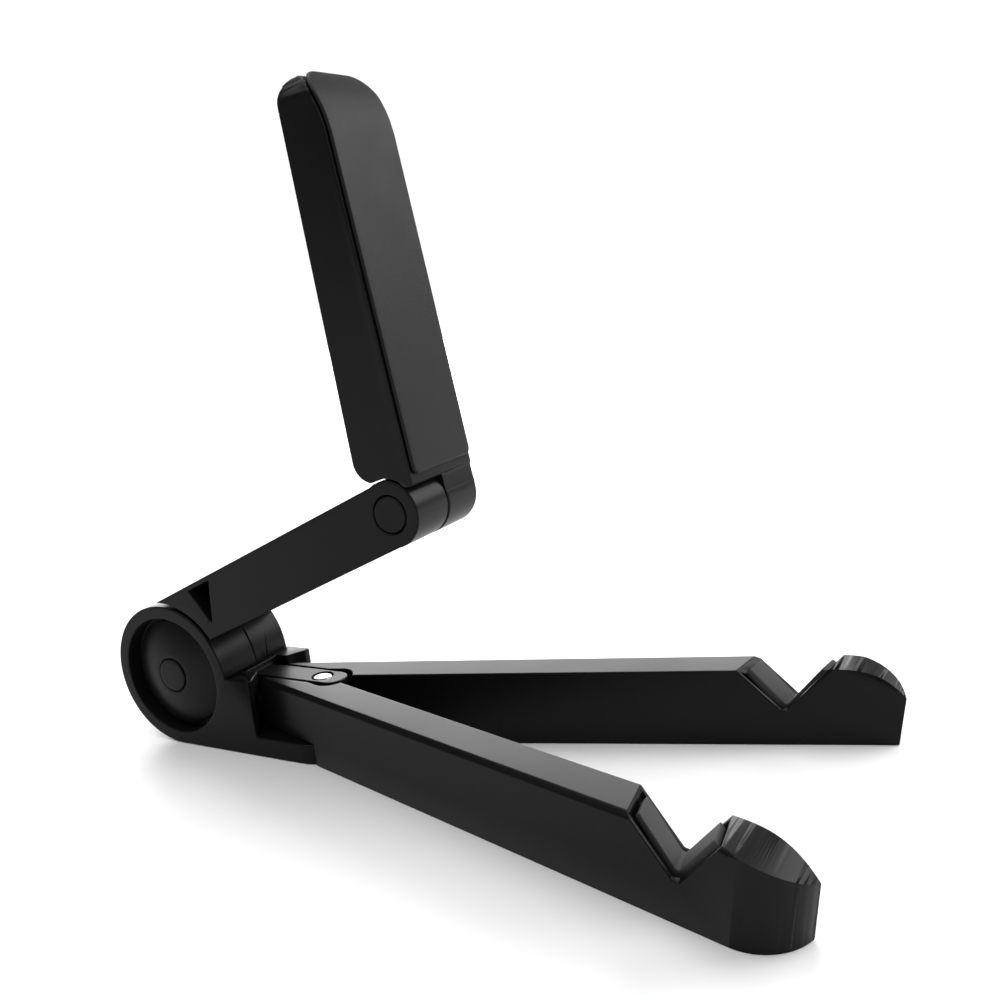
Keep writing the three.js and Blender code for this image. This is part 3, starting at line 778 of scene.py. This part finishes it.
@dataclass
class UpperLink(SubAssembly):
    """The upper link's shell, its pad and carrier, and the elbow's right end.

    Args:
        elbow: The elbow axis's Y and Z in millimetres.
        angle: Degrees that the link stands above the legs' direction.
        front: Distance of the shell's front from the elbow axis, in millimetres.
        roll_at: Where the front starts to roll back, in millimetres above the elbow.
        roll_r: Radius of the roll in millimetres.
        pad_side: Half the pad's width in millimetres.
        pad_low: Where the pad starts above the elbow, in millimetres.
        pad_top: Where the pad ends, in millimetres.
        pad_corner: Radius of the pad's upper corners in millimetres.
        pad_foot: Radius of the pad's and the plug's lower corners in millimetres.
        pad_gap: Gap between the shell's front and the pad's rim, in millimetres.
        pad_proud: How far the pad's face stands off the shell's front, in millimetres.
        plug: Half width, low end, top end, corner radius and depth of the pad's plug, in millimetres.
    """

    elbow: tuple[float, float] = (0.0, 0.0)
    angle: float = 97.87
    front: float = 7.9
    roll_at: float = 79.4
    roll_r: float = 23.7
    pad_side: float = 11.4
    pad_low: float = 7.7
    pad_top: float = 93.7
    pad_corner: float = 6.1
    pad_foot: float = 1.6
    pad_gap: float = 0.4
    pad_proud: float = 1.0
    plug: tuple[float, float, float, float, float] = (9.9, 9.5, 85.5, 6.0, 5.9)

    def frame(self) -> Matrix:
        """The matrix from (across, along, back) in the link to the row frame."""
        upright = Matrix(((1, 0, 0, 0), (0, -1, 0, 0), (0, 0, 1, 0), (0, 0, 0, 1)))
        turn = Matrix.Rotation(-math.radians(self.angle), 4, "X")
        return Matrix.Translation((0, self.elbow[0] * MM, self.elbow[1] * MM)) @ turn @ upright

    def face_at(self, along: float, grow: float) -> float:
        """How far back the shell's front lies, grown outwards.

        Args:
            along: Distance above the elbow in millimetres.
            grow: How far off the shell's front, in millimetres.

        Returns:
            The distance towards the back, in millimetres.
        """
        if along <= self.roll_at:
            return -self.front - grow
        r = self.roll_r + grow
        return self.roll_r - self.front - math.sqrt(r * r - (along - self.roll_at) ** 2)

    @staticmethod
    def ring(half: float, low: float, top: float, corner: float,
             foot: float) -> list[tuple[float, float]]:
        """The right half of a rounded outline from foot to top, always with as many points.

        Args:
            half: Half the width in millimetres.
            low: Where it starts in millimetres.
            top: Where it ends in millimetres.
            corner: Radius of the upper corners in millimetres.
            foot: Radius of the lower corners in millimetres.

        Returns:
            The points.
        """
        sides = [low + foot + (top - corner - low - foot) * t for t in SIDE_STEPS]
        return [*arc(half - foot, low + foot, foot, 270, 360, 5), *[(half, at) for at in sides],
                *arc(half - corner, top - corner, corner, 0, 90, 20)]

    def pad(self) -> None:
        """Builds the rubber pad: a front plate with a soft rim that rolls back at the top, on a plug.

        Each level is an inset from the pad's outline and a height over the shell's front. The two
        levels without an inset are the plug's back and its front.
        """
        soft = self.pad_proud - self.pad_gap - 0.1
        half, low, top, corner, depth = self.plug
        levels = [(None, -depth), (None, self.pad_gap), (0.0, self.pad_gap)]
        levels += [(soft - x, self.pad_proud - soft + y) for x, y in arc(0, 0, soft, 0, 90, 6)]
        levels += [(1.6, self.pad_proud)]
        bm = bmesh.new()
        rings = []
        for inset, level in levels:
            if inset is None:
                outline = self.ring(half, low, top, corner, self.pad_foot)
                points = [(x, at, level if level == -depth else self.face_at(at, self.pad_gap))
                          for x, at in outline]
            else:
                points = [(x, at, self.face_at(at, level)) for x, at in self.ring(
                    self.pad_side - inset, self.pad_low + inset, self.pad_top - inset,
                    self.pad_corner - inset, max(self.pad_foot - inset, 0.1))]
            right = [bm.verts.new((x * MM, at * MM, z * MM)) for x, at, z in points]
            left = [bm.verts.new((-x * MM, at * MM, z * MM)) for x, at, z in points]
            rings.append((right, left))
        for lower, upper in zip(rings, rings[1:]):
            loops = [right + left[::-1] for right, left in (lower, upper)]
            for i in range(len(loops[0])):
                j = (i + 1) % len(loops[0])
                bm.faces.new((loops[0][i], loops[0][j], loops[1][j], loops[1][i]))
        for right, left in (rings[0], rings[-1]):
            for i in range(len(right) - 1):
                bm.faces.new((right[i], right[i + 1], left[i + 1], left[i]))
        piece = to_object("backrest_pad", bm, self.frame())
        shade(piece, 40.0)
        self.keep(piece, PAD_RUBBER, ("rest_pad",))

    def build(self) -> None:
        """Builds the upper link's pieces."""
        self.eased("upper_arm", "upper_link_shell", SHELL_PLASTIC, 0.45, 24.0)
        self.pad()
        ElbowCap(self.body, self.nodes, side=1.0, y=self.elbow[0], z=self.elbow[1]).build("right")
        self.dress(COVER_PLASTIC, "pad_carrier")
        self.dress(PLATED_STEEL, "elbow_spring_washer", "elbow_nut")


# ---------------------------------------------------------------------------
# Studio
# ---------------------------------------------------------------------------
@dataclass
class Studio:
    """The table top, the lights and the camera.

    Args:
        eye: The camera's place in millimetres.
        azimuth: Degrees round Z from the view along +Y.
        elevation: Degrees that the camera looks down.
        roll: Degrees that the picture is turned.
        focal: Focal length in millimetres on a 36 mm sensor.
        aim: The point that the soft lights face, in metres.
        surround_light: Strength of the surround as a light.
        surround_seen: Strength of the surround to the camera.
        glow_from: Radius where the table starts to glow, in metres.
        glow_full: Radius where the table glows fully, in metres.
    """

    eye: tuple[float, float, float] = (-197.42, -177.33, 116.16)
    azimuth: float = -58.83
    elevation: float = 12.52
    roll: float = -6.48
    focal: float = 39.325
    aim: tuple[float, float, float] = (0.0, -0.03, 0.05)
    surround_light: float = 0.15
    surround_seen: float = 1.05
    glow_from: float = 0.25
    glow_full: float = 1.1

    def camera(self) -> None:
        """Places the camera."""
        az, el, ro = (math.radians(a) for a in (self.azimuth, self.elevation, self.roll))
        back = Vector((math.sin(az) * math.cos(el), -math.cos(az) * math.cos(el), math.sin(el)))
        right = (-back).cross(Vector((0, 0, 1))).normalized()
        up = right.cross(-back)
        side = right * math.cos(ro) + up * math.sin(ro)
        top = up * math.cos(ro) - right * math.sin(ro)
        data = bpy.data.cameras.new("view")
        data.lens = self.focal
        data.sensor_width = 36.0
        data.clip_start = 0.01
        camera = bpy.data.objects.new("view", data)
        turn = Matrix((side, top, back)).transposed().to_4x4()
        camera.matrix_world = Matrix.Translation(Vector(self.eye) * MM) @ turn
        bpy.context.scene.collection.objects.link(camera)
        bpy.context.scene.camera = camera

    def softbox(self, name: str, at: tuple[float, float, float], size: tuple[float, float],
                watts: float) -> None:
        """Hangs a rectangular soft light that faces the stand.

        Args:
            name: The light's name.
            at: Its place in metres.
            size: Its width and height in metres.
            watts: Its power.
        """
        data = bpy.data.lights.new(name, "AREA")
        data.shape = "RECTANGLE"
        data.size, data.size_y = size
        data.energy = watts
        light = bpy.data.objects.new(name, data)
        aim = Vector(self.aim) - Vector(at)
        light.matrix_world = Matrix.Translation(at) @ aim.to_track_quat("-Z", "Y").to_matrix().to_4x4()
        light.visible_camera = False
        bpy.context.scene.collection.objects.link(light)

    def world(self) -> None:
        """Makes the white surround: plain white to the eye, and dimmer as a light."""
        world = bpy.data.worlds.new("surround")
        world.use_nodes = True
        nodes, links = world.node_tree.nodes, world.node_tree.links
        back = nodes["Background"]
        back.inputs["Color"].default_value = (1.0, 1.0, 1.0, 1.0)
        path = nodes.new("ShaderNodeLightPath")
        level = nodes.new("ShaderNodeMapRange")
        level.inputs["To Min"].default_value = self.surround_light
        level.inputs["To Max"].default_value = self.surround_seen
        links.new(path.outputs["Is Camera Ray"], level.inputs["Value"])
        links.new(level.outputs["Result"], back.inputs["Strength"])
        bpy.context.scene.world = world

    def table(self) -> None:
        """Makes the pale table top."""
        bm = bmesh.new()
        bmesh.ops.create_grid(bm, x_segments=2, y_segments=2, size=2.5)
        bmesh.ops.translate(bm, verts=bm.verts, vec=(0, 0, -0.00005))
        floor = to_object("table_top", bm)
        material = bpy.data.materials.new("pale_table")
        material.use_nodes = True
        nodes, links = material.node_tree.nodes, material.node_tree.links
        shader = nodes["Principled BSDF"]
        shader.inputs["Specular IOR Level"].default_value = 0.3
        place = nodes.new("ShaderNodeTexCoord")
        noise = nodes.new("ShaderNodeTexNoise")
        noise.inputs["Scale"].default_value = 6.0
        ramp = nodes.new("ShaderNodeMapRange")
        ramp.inputs["To Min"].default_value = 0.42
        ramp.inputs["To Max"].default_value = 0.5
        shader.inputs["Base Color"].default_value = (0.9, 0.9, 0.9, 1.0)
        far = nodes.new("ShaderNodeVectorMath")
        far.operation = "LENGTH"
        glow = nodes.new("ShaderNodeMapRange")
        for title, number in (("From Min", self.glow_from), ("From Max", self.glow_full),
                              ("To Min", 0.0), ("To Max", 1.0)):
            glow.inputs[title].default_value = number
        shader.inputs["Emission Color"].default_value = (1.0, 1.0, 1.0, 1.0)
        links.new(place.outputs["Object"], far.inputs[0])
        links.new(far.outputs["Value"], glow.inputs["Value"])
        links.new(glow.outputs["Result"], shader.inputs["Emission Strength"])
        links.new(place.outputs["Object"], noise.inputs["Vector"])
        links.new(noise.outputs["Fac"], ramp.inputs["Value"])
        links.new(ramp.outputs["Result"], shader.inputs["Roughness"])
        floor.data.materials.append(material)

    def build(self) -> None:
        """Builds the studio."""
        self.camera()
        self.world()
        self.table()
        self.softbox("overhead", (0.0, 0.0, 1.6), (2.4, 2.4), 38.0)
        self.softbox("far_wall", (1.05, 0.85, 0.42), (1.9, 0.9), 24.0)
        self.softbox("far_wall_front", (0.95, -0.95, 0.72), (1.2, 0.8), 16.0)
        bpy.context.scene.view_settings.view_transform = "Standard"


def main() -> None:
    """Builds every sub-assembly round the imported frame."""
    logging.basicConfig(level=logging.INFO, format="%(name)s %(message)s")
    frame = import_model()
    for build_group in (moulded_skin_group, rubber_skin_group, plated_metal_group):
        LOG.info("shader group %s", build_group().name)
    nodes = frame["nodes"]
    hinge = next(j for j in frame["joints"] if j["name"] == "elbow")
    elbow = (hinge["pos_m"][1] / MM, hinge["pos_m"][2] / MM)
    Hub("base", nodes).build()
    Leg("left_leg", nodes, side=-1.0).build("left")
    Leg("right_leg", nodes, side=1.0).build("right")
    LowerLink("lower_link", nodes, elbow=elbow).build()
    UpperLink("upper_link", nodes, elbow=elbow).build()
    Studio().build()


if __name__ == "__main__":
    main()
